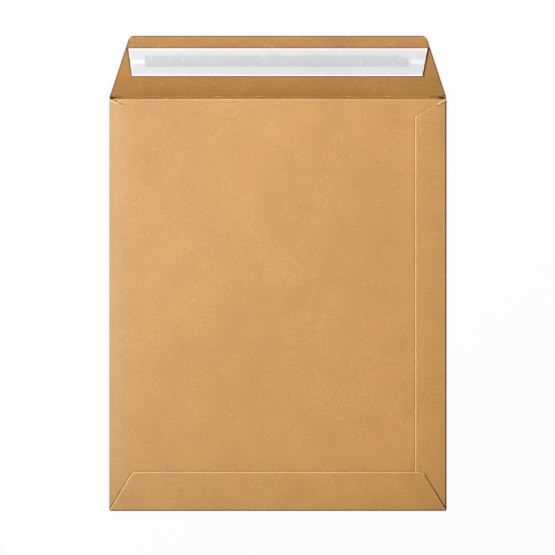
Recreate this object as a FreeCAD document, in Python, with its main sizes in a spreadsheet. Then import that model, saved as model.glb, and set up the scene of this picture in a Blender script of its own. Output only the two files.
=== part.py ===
import FreeCAD, Part
import math
import os

import Sketcher

# A peel and seal pocket envelope of manilla paper, empty and unused, lying on its address side.
# The whole envelope is one blank, folded along four lines. The left fold joins the front panel to the
# back panel, the right fold turns the seam flap over the back panel's free edge, the bottom fold turns
# the bottom flap over both, and the crease at the mouth carries the closing flap, which is open.
# The origin is the middle of the front panel's outer face. X runs to the right as seen from the back of
# the envelope, Y runs up to the mouth and Z up from the table.
# Lengths are in millimetres and angles in degrees.

SIZES = (
    # the pocket
    ("pocket_width", "250"),
    ("pocket_height", "305"),
    ("paper", "0.15"),
    ("fold_slack", "0.3"),
    ("glue", "0.04"),
    ("edge_gap", "0.5"),
    ("root_setback", "0.6"),
    # the back panel's arch, which holds the mouth open, and the flat hem left around it
    ("mouth_lift", "13"),
    ("middle_lift", "10.5"),
    ("heel_radius", "60"),
    ("arch_hem", "1"),
    # the seam flap on the right
    ("seam_flap_width", "23"),
    ("seam_flap_drop", "12.5"),
    ("seam_flap_corner", "1.5"),
    # the bottom flap
    ("bottom_flap_depth", "28.6"),
    ("bottom_flap_inset", "16.8"),
    ("bottom_flap_corner", "3.5"),
    # the closing flap
    ("mouth_step", "2.8"),
    ("crease_radius", "1.5"),
    ("crease_lean", "6.5"),
    ("tip_lean", "-3"),
    ("closing_flap_depth", "44.2"),
    ("closing_flap_tip_width", "219.6"),
    ("closing_flap_corner", "4.5"),
    # the adhesive strip that seals it, and the liner over the strip
    ("strip_length", "195"),
    ("strip_width", "8.5"),
    ("strip_start", "21.2"),
    ("strip_thickness", "0.06"),
    ("liner_root_length", "216.4"),
    ("liner_tip_length", "222"),
    ("liner_width", "20.6"),
    ("liner_start", "14.5"),
    ("liner_thickness", "0.08"),
    # how far the glue stays inside the flaps' edges
    ("glue_margin", "3"),
    # how far a blank runs past the line it is then cut to
    ("trim", "1"),
)

# Levels, radii and places that follow from the sizes. A fold's radius is that of its outer face, a level
# is a height above the table, and a lean is a slope against the table.
WORKED = (
    ("half_width", "sizes.pocket_width / 2"),
    ("mouth", "sizes.pocket_height / 2"),
    ("crease", "mouth + sizes.mouth_step"),
    ("back_under", "sizes.paper + sizes.fold_slack"),
    ("back_top", "back_under + sizes.paper"),
    ("seam_under", "back_top + sizes.glue"),
    ("seam_top", "seam_under + sizes.paper"),
    ("bottom_under", "seam_top + sizes.glue"),
    ("bottom_top", "bottom_under + sizes.paper"),
    ("left_fold", "back_top / 2"),
    ("right_fold", "seam_top / 2"),
    ("bottom_fold", "bottom_top / 2"),
    ("front_left", "left_fold - half_width"),
    ("front_right", "half_width - right_fold"),
    ("front_foot", "bottom_fold - mouth"),
    ("back_foot", "front_foot + sizes.edge_gap"),
    ("back_right", "front_right - sizes.edge_gap"),
    ("back_height", "mouth - back_foot"),
    ("root_half", "half_width - sizes.root_setback"),
    # the seam flap's free edge and its slanted ends
    ("seam_edge", "half_width - sizes.seam_flap_width"),
    ("seam_run", "front_right - seam_edge"),
    ("seam_slant", "sqrt(seam_run ^ 2 + sizes.seam_flap_drop ^ 2)"),
    ("seam_turn", "atan(seam_run / sizes.seam_flap_drop)"),
    ("seam_cut", "sizes.seam_flap_corner * tan(seam_turn / 2)"),
    ("seam_cut_x", "seam_edge + seam_cut * seam_run / seam_slant"),
    ("seam_cut_y", "seam_cut * sizes.seam_flap_drop / seam_slant"),
    ("seam_head", "mouth - sizes.seam_flap_drop"),
    ("seam_foot", "back_foot + sizes.seam_flap_drop"),
    ("seam_centre", "seam_edge + sizes.seam_flap_corner"),
    # the bottom flap's free edge and slanted sides
    ("bottom_edge", "sizes.bottom_flap_depth - mouth"),
    ("bottom_half", "root_half - sizes.bottom_flap_inset"),
    ("bottom_lean", "atan(sizes.bottom_flap_inset / (bottom_edge - front_foot))"),
    ("bottom_cut", "sizes.bottom_flap_corner * tan(45 deg - bottom_lean / 2)"),
    ("bottom_cut_x", "bottom_half + bottom_cut * sin(bottom_lean)"),
    ("bottom_cut_y", "bottom_edge - bottom_cut * cos(bottom_lean)"),
    ("bottom_straight", "bottom_half - bottom_cut"),
    ("bottom_centre", "bottom_edge - sizes.bottom_flap_corner"),
    # the arch: two heels that curve up and a bow between them, all tangent
    ("arch_left", "front_left + sizes.arch_hem"),
    ("arch_right", "seam_edge - sizes.arch_hem"),
    ("arch_middle", "(arch_left + arch_right) / 2"),
    ("arch_half", "(arch_right - arch_left) / 2"),
    ("arch_foot", "bottom_edge + sizes.arch_hem"),
    ("heel_centre", "back_top + sizes.heel_radius"),
    ("heel_under", "sizes.heel_radius + sizes.paper"),
    ("mouth_lean", "2 * atan(sizes.mouth_lift / arch_half)"),
    ("mouth_reach", "arch_half / sin(mouth_lean)"),
    ("mouth_centre", "heel_centre - mouth_reach * cos(mouth_lean)"),
    ("middle_lean", "2 * atan(sizes.middle_lift / arch_half)"),
    ("middle_reach", "arch_half / sin(middle_lean)"),
    ("middle_centre", "heel_centre - middle_reach * cos(middle_lean)"),
    ("arch_halfway", "(mouth + arch_foot) / 2"),
    # the closing flap: a short bend up at the crease, then a long bow that eases towards the tip
    ("flap_bow", "sizes.closing_flap_depth * 180 / (pi * (sizes.crease_lean - sizes.tip_lean))"),
    ("crease_centre", "sizes.paper + sizes.crease_radius"),
    ("crease_under", "sizes.crease_radius + sizes.paper"),
    ("flap_reach", "crease_under + flap_bow"),
    ("bow_y", "crease + flap_reach * sin(sizes.crease_lean)"),
    ("bow_z", "crease_centre - flap_reach * cos(sizes.crease_lean)"),
    ("tip", "bow_y - flap_bow * sin(sizes.tip_lean)"),
    ("lean_of_one", "180 / (pi * flap_bow)"),
    ("blank_lean", "sizes.tip_lean - sizes.trim * lean_of_one"),
    ("blank_tip", "tip + 2 * sizes.trim"),
    ("tip_half", "sizes.closing_flap_tip_width / 2"),
    ("flap_side", "atan((root_half - tip_half) / (tip - crease))"),
    ("flap_cut", "sizes.closing_flap_corner * tan(45 deg - flap_side / 2)"),
    ("flap_cut_x", "tip_half + flap_cut * sin(flap_side)"),
    ("flap_cut_y", "tip - flap_cut * cos(flap_side)"),
    ("flap_straight", "tip_half - flap_cut"),
    ("flap_centre", "tip - sizes.closing_flap_corner"),
    # the strip and its liner, laid along the bow
    ("paper_face", "flap_bow + sizes.paper"),
    ("strip_face", "paper_face + sizes.strip_thickness"),
    ("liner_face", "strip_face + sizes.liner_thickness"),
    ("strip_root", "sizes.crease_lean - sizes.strip_start * lean_of_one"),
    ("strip_tip", "strip_root - sizes.strip_width * lean_of_one"),
    ("liner_root", "sizes.crease_lean - sizes.liner_start * lean_of_one"),
    ("liner_tip", "liner_root - sizes.liner_width * lean_of_one"),
    ("liner_root_y", "bow_y - liner_face * sin(liner_root) - sizes.trim"),
    ("liner_tip_y", "bow_y - liner_face * sin(liner_tip) + sizes.trim"),
    ("liner_flare", "(sizes.liner_tip_length - sizes.liner_root_length) / (2 * sizes.liner_width)"),
    ("liner_root_half", "sizes.liner_root_length / 2 - sizes.trim * liner_flare"),
    ("liner_tip_half", "sizes.liner_tip_length / 2 + sizes.trim * liner_flare"),
    ("liner_blank", "liner_tip_half + sizes.trim"),
    ("liner_beyond", "liner_blank + sizes.trim"),
    # the glue under the seam flap and under the bottom flap
    ("seam_glue_left", "seam_edge + sizes.glue_margin"),
    ("seam_glue_right", "back_right - sizes.glue_margin"),
    ("seam_glue_head", "seam_head - sizes.glue_margin"),
    ("seam_glue_foot", "seam_foot + sizes.glue_margin"),
    ("bottom_glue_left", "sizes.glue_margin - bottom_half"),
    ("bottom_glue_right", "seam_edge - sizes.glue_margin"),
    ("bottom_glue_head", "bottom_edge - sizes.glue_margin"),
    ("bottom_glue_foot", "front_foot + sizes.glue_margin"),
    ("bottom_glue_depth", "bottom_under - back_top"),
)


def fill_sheet(document, name, rows, mark):
    """A sheet with one named value in each row, written with the mark before it."""
    sheet = document.addObject("Spreadsheet::Sheet", name)
    for number, (alias, content) in enumerate(rows, start=1):
        sheet.set(f"A{number}", alias)
        sheet.set(f"B{number}", mark + content)
        sheet.setAlias(f"B{number}", alias)
    return sheet


def new_body(document, name):
    """An empty body with its own label."""
    body = document.addObject("PartDesign::Body", name)
    body.Label = name
    return body


def new_sketch(body, name, role, offset="0"):
    """A sketch on one of the body's own planes, moved along that plane's normal."""
    sketch = body.newObject("Sketcher::SketchObject", name)
    plane = next(item for item in body.Origin.OriginFeatures if item.Role == role)
    sketch.AttachmentSupport = [(plane, "")]
    sketch.MapMode = "FlatFace"
    sketch.setExpression("AttachmentOffset.Base.z", offset)
    return sketch


def line_to(across, up):
    """A straight edge to a corner of an outline."""
    return {"across": across, "up": up}


def arc_to(across, up, centre_across, centre_up, leftwards):
    """A round edge to a corner of an outline, turning left or right about its centre."""
    return {
        "across": across,
        "up": up,
        "centre_across": centre_across,
        "centre_up": centre_up,
        "leftwards": leftwards,
    }


def value_of(sketch, expression):
    """What an expression over the two sheets comes to."""
    return float(sketch.evalExpression(expression))


def point_at(sketch, across, up):
    """A point of the sketch's plane, from an expression for each way."""
    return FreeCAD.Vector(value_of(sketch, across), value_of(sketch, up), 0)


def hold(sketch, kind, edge, point, expression):
    """Holds one distance of a point from the sketch's origin to an expression."""
    distance = Sketcher.Constraint(kind, edge, point, value_of(sketch, expression))
    number = sketch.addConstraint(distance)
    sketch.setExpression(f"Constraints[{number}]", expression)


def add_outline(sketch, corners):
    """A closed outline through its corners in turn. Each corner tells what edge leads to it."""
    places = [point_at(sketch, corner["across"], corner["up"]) for corner in corners]
    ends = []
    for number, corner in enumerate(corners):
        start, finish = places[number - 1], places[number]
        if "leftwards" in corner:
            edge, first, last = add_arc(sketch, start, finish, corner)
        else:
            edge, first, last = sketch.addGeometry(Part.LineSegment(start, finish)), 1, 2
        ends.append((edge, first, last))
        hold(sketch, "DistanceX", edge, last, corner["across"])
        hold(sketch, "DistanceY", edge, last, corner["up"])
    for number, (edge, first, _) in enumerate(ends):
        before, _, last = ends[number - 1]
        sketch.addConstraint(Sketcher.Constraint("Coincident", before, last, edge, first))


def add_arc(sketch, start, finish, corner):
    """An arc between two corners. Its centre is held along the longer side of its chord's box."""
    centre = point_at(sketch, corner["centre_across"], corner["centre_up"])
    first, last = (1, 2) if corner["leftwards"] else (2, 1)
    low, high = (start, finish) if corner["leftwards"] else (finish, start)
    circle = Part.Circle(centre, FreeCAD.Vector(0, 0, 1), start.distanceToPoint(centre))
    low_angle = math.atan2(low.y - centre.y, low.x - centre.x)
    high_angle = math.atan2(high.y - centre.y, high.x - centre.x)
    edge = sketch.addGeometry(Part.ArcOfCircle(circle, low_angle, high_angle))
    if abs(finish.x - start.x) > abs(finish.y - start.y):
        hold(sketch, "DistanceY", edge, 3, corner["centre_up"])
    else:
        hold(sketch, "DistanceX", edge, 3, corner["centre_across"])
    return edge, first, last


def add_pad(body, sketch, length, both_ways=False):
    """A pad of a sketch along its normal, or half of it each way."""
    pad = body.newObject("PartDesign::Pad", f"{sketch.Name}_pad")
    pad.Profile = sketch
    pad.Midplane = both_ways
    pad.setExpression("Length", length)
    sketch.Document.recompute()
    return pad


def add_cut(body, sketch):
    """Takes away all that stands above a sketch."""
    before = body.Shape.Volume
    cut = body.newObject("PartDesign::Pocket", f"{sketch.Name}_cut")
    cut.Profile = sketch
    cut.Type = "ThroughAll"
    cut.Reversed = True
    sketch.Document.recompute()
    if not cut.Shape.Volume < before:
        raise RuntimeError(f"{cut.Name} takes nothing away")
    return cut


def draw_front_panel(body):
    """The flat panel that carries every fold."""
    sketch = new_sketch(body, "front_panel", "XY_Plane")
    add_outline(
        sketch,
        [
            line_to("worked.front_left", "worked.crease"),
            line_to("worked.front_left", "worked.front_foot"),
            line_to("worked.front_right", "worked.front_foot"),
            line_to("worked.front_right", "worked.crease"),
        ],
    )
    add_pad(body, sketch, "sizes.paper")


def draw_fold(body, name, role, offset, root, radius, under, over, leftwards):
    """The half ring that turns the front panel over by half a turn, as its section."""
    sketch = new_sketch(body, name, role, offset)
    inner_centre = f"({under} + sizes.paper) / 2"
    add_outline(
        sketch,
        [
            line_to(root, "0"),
            arc_to(root, over, root, radius, leftwards),
            line_to(root, under),
            arc_to(root, "sizes.paper", root, inner_centre, not leftwards),
        ],
    )
    return sketch


def draw_side_folds(body):
    """The left fold up to the back panel, and the right fold up to the seam flap."""
    left = draw_fold(
        body,
        "left_fold",
        "XZ_Plane",
        "-worked.mouth",
        "worked.front_left",
        "worked.left_fold",
        "worked.back_under",
        "worked.back_top",
        leftwards=False,
    )
    add_pad(body, left, "worked.back_height")
    right = draw_fold(
        body,
        "right_fold",
        "XZ_Plane",
        "-worked.mouth",
        "worked.front_right",
        "worked.right_fold",
        "worked.seam_under",
        "worked.seam_top",
        leftwards=True,
    )
    add_pad(body, right, "worked.back_height")


def draw_back_panel(body):
    """The flat rim of the back panel: along the left fold, behind the bottom flap and in the seam."""
    sketch = new_sketch(body, "back_rim", "XY_Plane", "worked.back_under")
    add_outline(
        sketch,
        [
            line_to("worked.front_left", "worked.mouth"),
            line_to("worked.front_left", "worked.back_foot"),
            line_to("worked.back_right", "worked.back_foot"),
            line_to("worked.back_right", "worked.mouth"),
            line_to("worked.arch_right", "worked.mouth"),
            line_to("worked.arch_right", "worked.arch_foot"),
            line_to("worked.arch_left", "worked.arch_foot"),
            line_to("worked.arch_left", "worked.mouth"),
        ],
    )
    add_pad(body, sketch, "sizes.paper")


def arch_face(place, heel, level):
    """One face of the arched sheet as four points of its section, from left to right."""
    lean = f"worked.{place}_lean"
    run = f"{heel} * sin({lean})"
    rise = f"worked.heel_centre - {heel} * cos({lean})"
    return [
        ("worked.arch_left", level),
        (f"worked.arch_left + {run}", rise),
        (f"worked.arch_right - {run}", rise),
        ("worked.arch_right", level),
    ]


def arch_corners(place):
    """The section of the arched sheet at the mouth or halfway down, counted round from its low left."""
    under = arch_face(place, "worked.heel_under", "worked.back_under")
    top = arch_face(place, "sizes.heel_radius", "worked.back_top")
    left_heel = ("worked.arch_left", "worked.heel_centre")
    bow = ("worked.arch_middle", f"worked.{place}_centre")
    right_heel = ("worked.arch_right", "worked.heel_centre")
    return [
        line_to(*under[0]),
        arc_to(*under[1], *left_heel, True),
        arc_to(*under[2], *bow, False),
        arc_to(*under[3], *right_heel, True),
        line_to(*top[3]),
        arc_to(*top[2], *right_heel, False),
        arc_to(*top[1], *bow, True),
        arc_to(*top[0], *left_heel, False),
    ]


def flat_corners():
    """The section of the same sheet where it lies flat, with a corner for each of the arch's."""
    run = "sizes.heel_radius * sin(worked.middle_lean)"
    across = [
        "worked.arch_left",
        f"worked.arch_left + {run}",
        f"worked.arch_right - {run}",
        "worked.arch_right",
    ]
    under = [line_to(place, "worked.back_under") for place in across]
    top = [line_to(place, "worked.back_top") for place in reversed(across)]
    return under + top


def draw_arch(body):
    """The middle of the back panel, from flat at the bottom flap to arched at the mouth."""
    sections = []
    for name, offset, corners in (
        ("arch_foot_section", "-worked.arch_foot", flat_corners()),
        ("arch_middle_section", "-worked.arch_halfway", arch_corners("middle")),
        ("arch_mouth_section", "-worked.mouth", arch_corners("mouth")),
    ):
        sketch = new_sketch(body, name, "XZ_Plane", offset)
        add_outline(sketch, corners)
        sections.append(sketch)
    body.Document.recompute()
    loft = body.newObject("PartDesign::AdditiveLoft", "arch")
    loft.Profile = sections[0]
    loft.Sections = sections[1:]
    body.Document.recompute()


def draw_seam_flap(body):
    """The flap that laps over the back panel's free edge, slanted at both ends."""
    sketch = new_sketch(body, "seam_flap", "XY_Plane", "worked.seam_under")
    add_outline(
        sketch,
        [
            line_to("worked.front_right", "worked.mouth"),
            line_to("worked.seam_cut_x", "worked.seam_head + worked.seam_cut_y"),
            arc_to(
                "worked.seam_edge",
                "worked.seam_head - worked.seam_cut",
                "worked.seam_centre",
                "worked.seam_head - worked.seam_cut",
                True,
            ),
            line_to("worked.seam_edge", "worked.seam_foot + worked.seam_cut"),
            arc_to(
                "worked.seam_cut_x",
                "worked.seam_foot - worked.seam_cut_y",
                "worked.seam_centre",
                "worked.seam_foot + worked.seam_cut",
                True,
            ),
            line_to("worked.front_right", "worked.back_foot"),
        ],
    )
    add_pad(body, sketch, "sizes.paper")


def draw_bottom_flap(body):
    """The bottom fold, and the flap with slanted sides that closes the foot of the pocket."""
    fold = draw_fold(
        body,
        "bottom_fold",
        "YZ_Plane",
        "0",
        "worked.front_foot",
        "worked.bottom_fold",
        "worked.bottom_under",
        "worked.bottom_top",
        leftwards=False,
    )
    add_pad(body, fold, "2 * worked.root_half", both_ways=True)
    sketch = new_sketch(body, "bottom_flap", "XY_Plane", "worked.bottom_under")
    add_outline(
        sketch,
        [
            line_to("-worked.root_half", "worked.front_foot"),
            line_to("worked.root_half", "worked.front_foot"),
            line_to("worked.bottom_cut_x", "worked.bottom_cut_y"),
            arc_to(
                "worked.bottom_straight",
                "worked.bottom_edge",
                "worked.bottom_straight",
                "worked.bottom_centre",
                True,
            ),
            line_to("-worked.bottom_straight", "worked.bottom_edge"),
            arc_to(
                "-worked.bottom_cut_x",
                "worked.bottom_cut_y",
                "-worked.bottom_straight",
                "worked.bottom_centre",
                True,
            ),
        ],
    )
    add_pad(body, sketch, "sizes.paper")


def on_bow(face, lean):
    """The place of a point on one of the closing flap's faces, by the flap's slope there."""
    return f"worked.bow_y - {face} * sin({lean})", f"worked.bow_z + {face} * cos({lean})"


def bow_band(inner, outer, root, tip):
    """The section of a layer that follows the closing flap's bow, between two slopes."""
    bow = ("worked.bow_y", "worked.bow_z")
    return [
        line_to(*on_bow(inner, root)),
        arc_to(*on_bow(inner, tip), *bow, False),
        line_to(*on_bow(outer, tip)),
        arc_to(*on_bow(outer, root), *bow, True),
    ]


def draw_closing_flap(body):
    """The bend at the crease and the bow of the open flap, cut to its outline with two round corners."""
    sketch = new_sketch(body, "closing_flap", "YZ_Plane")
    root, tip = "sizes.crease_lean", "worked.blank_lean"
    under, top = "worked.flap_bow", "worked.paper_face"
    crease = ("worked.crease", "worked.crease_centre")
    bow = ("worked.bow_y", "worked.bow_z")
    add_outline(
        sketch,
        [
            line_to("worked.crease", "0"),
            arc_to(*on_bow(under, root), *crease, True),
            arc_to(*on_bow(under, tip), *bow, False),
            line_to(*on_bow(top, tip)),
            arc_to(*on_bow(top, root), *bow, True),
            arc_to("worked.crease", "sizes.paper", *crease, False),
        ],
    )
    add_pad(body, sketch, "2 * worked.root_half", both_ways=True)
    rest = new_sketch(body, "closing_flap_outline", "XY_Plane")
    left_corner = ("-worked.flap_straight", "worked.flap_centre")
    right_corner = ("worked.flap_straight", "worked.flap_centre")
    add_outline(
        rest,
        [
            line_to("-worked.root_half", "worked.crease"),
            line_to("-worked.flap_cut_x", "worked.flap_cut_y"),
            arc_to("-worked.flap_straight", "worked.tip", *left_corner, False),
            line_to("worked.flap_straight", "worked.tip"),
            arc_to("worked.flap_cut_x", "worked.flap_cut_y", *right_corner, False),
            line_to("worked.root_half", "worked.crease"),
            line_to("worked.half_width", "worked.crease"),
            line_to("worked.half_width", "worked.blank_tip"),
            line_to("-worked.half_width", "worked.blank_tip"),
            line_to("-worked.half_width", "worked.crease"),
        ],
    )
    add_cut(body, rest)


def build_folded_sheet(document):
    """The folded blank, one piece of paper."""
    body = new_body(document, "folded_sheet")
    draw_front_panel(body)
    draw_side_folds(body)
    draw_back_panel(body)
    draw_arch(body)
    draw_seam_flap(body)
    draw_bottom_flap(body)
    draw_closing_flap(body)
    return body


def build_adhesive_strip(document):
    """The line of pressure sensitive adhesive across the closing flap."""
    body = new_body(document, "adhesive_strip")
    sketch = new_sketch(body, "strip_section", "YZ_Plane")
    faces = ("worked.paper_face", "worked.strip_face")
    add_outline(sketch, bow_band(*faces, "worked.strip_root", "worked.strip_tip"))
    add_pad(body, sketch, "sizes.strip_length", both_ways=True)
    return body


def build_release_liner(document):
    """The peel-off paper over the adhesive, with its two ends cut on a slant."""
    body = new_body(document, "release_liner")
    sketch = new_sketch(body, "liner_section", "YZ_Plane")
    faces = ("worked.strip_face", "worked.liner_face")
    add_outline(sketch, bow_band(*faces, "worked.liner_root", "worked.liner_tip"))
    add_pad(body, sketch, "2 * worked.liner_blank", both_ways=True)
    for name, side in (("left", "-"), ("right", "")):
        end = new_sketch(body, f"liner_{name}_end", "XY_Plane")
        add_outline(
            end,
            [
                line_to(f"{side}worked.liner_root_half", "worked.liner_root_y"),
                line_to(f"{side}worked.liner_tip_half", "worked.liner_tip_y"),
                line_to(f"{side}worked.liner_beyond", "worked.liner_tip_y"),
                line_to(f"{side}worked.liner_beyond", "worked.liner_root_y"),
            ],
        )
        add_cut(body, end)
    return body


def build_glue(document, name, place, depth):
    """A flat film of glue between the back panel and the flap over it."""
    body = new_body(document, name)
    sketch = new_sketch(body, f"{place}_film", "XY_Plane", "worked.back_top")
    add_outline(
        sketch,
        [
            line_to(f"worked.{place}_glue_left", f"worked.{place}_glue_foot"),
            line_to(f"worked.{place}_glue_right", f"worked.{place}_glue_foot"),
            line_to(f"worked.{place}_glue_right", f"worked.{place}_glue_head"),
            line_to(f"worked.{place}_glue_left", f"worked.{place}_glue_head"),
        ],
    )
    add_pad(body, sketch, depth)
    return body


def check_document(document, bodies):
    """Stops if any object of the document failed, or a sub-part has no sound solid."""
    document.recompute()
    for item in document.Objects:
        if "Invalid" in item.State or "Error" in item.State:
            raise RuntimeError(f"{item.Name} failed: {item.State}")
    for body in bodies:
        shape = body.Shape
        if shape.isNull() or not shape.isValid() or len(shape.Solids) != 1:
            raise RuntimeError(f"{body.Label} is not one sound solid")


def main():
    document = FreeCAD.newDocument("pocket_envelope")
    fill_sheet(document, "sizes", SIZES, "")
    fill_sheet(document, "worked", WORKED, "=")
    document.recompute()
    bodies = [
        build_folded_sheet(document),
        build_adhesive_strip(document),
        build_release_liner(document),
        build_glue(document, "side_seam_glue", "seam", "sizes.glue"),
        build_glue(document, "bottom_flap_glue", "bottom", "worked.bottom_glue_depth"),
    ]
    check_document(document, bodies)
    os.makedirs("parts", exist_ok=True)
    for body in bodies:
        body.Shape.exportStep(f"parts/{body.Label}.step")
        print(body.Label, "volume", round(body.Shape.Volume, 2), "mm3")


main()
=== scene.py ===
import math

import bmesh
import bpy
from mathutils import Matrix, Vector


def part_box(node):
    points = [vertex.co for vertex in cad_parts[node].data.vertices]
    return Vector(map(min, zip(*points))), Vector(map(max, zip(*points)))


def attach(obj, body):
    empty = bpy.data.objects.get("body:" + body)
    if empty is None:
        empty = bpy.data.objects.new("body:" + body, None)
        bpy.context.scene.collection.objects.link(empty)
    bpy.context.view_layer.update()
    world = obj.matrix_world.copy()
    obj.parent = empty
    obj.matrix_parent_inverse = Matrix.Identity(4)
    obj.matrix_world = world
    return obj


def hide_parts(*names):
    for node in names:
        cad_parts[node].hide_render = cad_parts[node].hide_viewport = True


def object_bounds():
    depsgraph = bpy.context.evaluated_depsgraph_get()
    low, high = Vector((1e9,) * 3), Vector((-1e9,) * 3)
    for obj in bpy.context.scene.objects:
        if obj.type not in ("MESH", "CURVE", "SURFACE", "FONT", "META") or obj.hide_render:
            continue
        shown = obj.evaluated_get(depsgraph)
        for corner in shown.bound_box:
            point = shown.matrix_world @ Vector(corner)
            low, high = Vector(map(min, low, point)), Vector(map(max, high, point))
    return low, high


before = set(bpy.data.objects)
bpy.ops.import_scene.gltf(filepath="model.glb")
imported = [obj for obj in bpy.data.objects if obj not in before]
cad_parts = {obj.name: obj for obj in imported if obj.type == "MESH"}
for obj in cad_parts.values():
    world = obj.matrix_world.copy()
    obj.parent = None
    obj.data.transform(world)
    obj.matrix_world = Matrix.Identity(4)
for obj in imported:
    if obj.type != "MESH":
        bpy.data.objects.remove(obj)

CAD_BOX = [list(corner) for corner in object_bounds()]

bl_info = {
    "name": "Peel and Seal Envelope",
    "version": (1, 0, 0),
    "blender": (4, 5, 0),
    "location": "3D View > Sidebar > Envelope",
    "description": "Folds a manilla pocket envelope from one sheet and lays its liner on the flap",
    "category": "Object",
}

MM = 0.001
FOLD_STEPS = 6
COCKLE_DEPTH, SWAY_DEPTH = 0.11 * MM, 0.07 * MM
PUCKER_LIP, PUCKER_GROOVE = 0.20 * MM, 0.14 * MM
LIP_WIDTH, SEAM_LIP, BOTTOM_LIP = 3 * MM, 0.16 * MM, 0.14 * MM
SEAM_CORNER, BOTTOM_CORNER, TIP_CORNER, LINER_CORNER = 1.5 * MM, 3.5 * MM, 4.5 * MM, 0.6 * MM
LOOSE_END, RIM_STEP, END_STEP = 12 * MM, 9 * MM, 2.6 * MM
TRIM_DEPTH, TRIM_LENGTH = 1.1 * MM, 30 * MM
LINE_END = 0.5
CORNER_INSET = 2.8
HAIR_WIDTH, HAIR_SWAY = 0.00028, 0.7
KEY_PLACE = (-0.66, 1.0, 1.18)
FLOOR_DEPTH, FLOOR_GLOW = 0.05 * MM, 0.85
STRIP_LOW, STRIP_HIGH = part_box("adhesive_strip")
LINER_LOW, LINER_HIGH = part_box("release_liner")
POCKET_WIDTH = CAD_BOX[1][0] - CAD_BOX[0][0]
FOOT = CAD_BOX[0][1]


class SheetSizes(bpy.types.PropertyGroup):
    """The folded sheet of the envelope."""

    width: bpy.props.FloatProperty(
        name="Pocket width", description="From the left fold to the right fold",
        default=POCKET_WIDTH, unit="LENGTH",
    )
    height: bpy.props.FloatProperty(
        name="Pocket height", description="From the bottom fold to the mouth",
        default=-2 * FOOT, unit="LENGTH",
    )
    paper: bpy.props.FloatProperty(
        name="Paper", description="Thickness of the sheet",
        default=0.15 * MM, precision=6, unit="LENGTH",
    )
    mouth_step: bpy.props.FloatProperty(
        name="Mouth step", description="From the mouth to the flap's crease",
        default=2.8 * MM, unit="LENGTH",
    )
    flap_depth: bpy.props.FloatProperty(
        name="Closing flap", description="From the crease to the flap's tip",
        default=44.2 * MM, unit="LENGTH",
    )
    flap_tip_width: bpy.props.FloatProperty(
        name="Flap tip width", description="Width of the closing flap at its tip",
        default=219.6 * MM, unit="LENGTH",
    )
    flap_lean: bpy.props.FloatProperty(
        name="Flap slope", description="Slope at the crease",
        default=math.radians(6.5), unit="ROTATION",
    )
    tip_lean: bpy.props.FloatProperty(
        name="Tip slope", description="Slope at the flap's tip",
        default=math.radians(-3), unit="ROTATION",
    )
    seam_flap: bpy.props.FloatProperty(
        name="Seam flap", description="Width of the glued side flap",
        default=23 * MM, unit="LENGTH",
    )
    bottom_flap: bpy.props.FloatProperty(
        name="Bottom flap", description="Depth of the glued bottom flap",
        default=28.6 * MM, unit="LENGTH",
    )
    bottom_inset: bpy.props.FloatProperty(
        name="Bottom inset", description="How far the bottom flap's sides slant in",
        default=16.8 * MM, unit="LENGTH",
    )
    mouth_lift: bpy.props.FloatProperty(
        name="Mouth lift", description="How high the back panel arches at the mouth",
        default=13 * MM, unit="LENGTH",
    )
    middle_lift: bpy.props.FloatProperty(
        name="Middle lift", description="How high it arches halfway down",
        default=10.5 * MM, unit="LENGTH",
    )
    cell: bpy.props.FloatProperty(
        name="Cell", description="Size of the squares that the sheet bends in",
        default=3 * MM, unit="LENGTH",
    )


class LinerSizes(bpy.types.PropertyGroup):
    """The peel-off liner and the adhesive strip under it."""

    root_length: bpy.props.FloatProperty(
        name="Root length", description="Length of its edge near the crease",
        default=216.4 * MM, unit="LENGTH",
    )
    tip_length: bpy.props.FloatProperty(
        name="Tip length", description="Length of its edge near the tip",
        default=222 * MM, unit="LENGTH",
    )
    width: bpy.props.FloatProperty(
        name="Liner width", description="From its lower to its upper edge",
        default=20.6 * MM, unit="LENGTH",
    )
    start: bpy.props.FloatProperty(
        name="Liner start", description="From the crease to its lower edge",
        default=14.5 * MM, unit="LENGTH",
    )
    thickness: bpy.props.FloatProperty(
        name="Liner thickness", description="Thickness of the liner",
        default=0.08 * MM, precision=6, unit="LENGTH",
    )
    level: bpy.props.FloatProperty(
        name="Liner level", description="Its underside above the flap's underside",
        default=0.21 * MM, precision=6, unit="LENGTH",
    )
    ripple: bpy.props.FloatProperty(
        name="Ripple", description="How far its loose ends stand off",
        default=0.22 * MM, precision=6, unit="LENGTH",
    )


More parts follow.
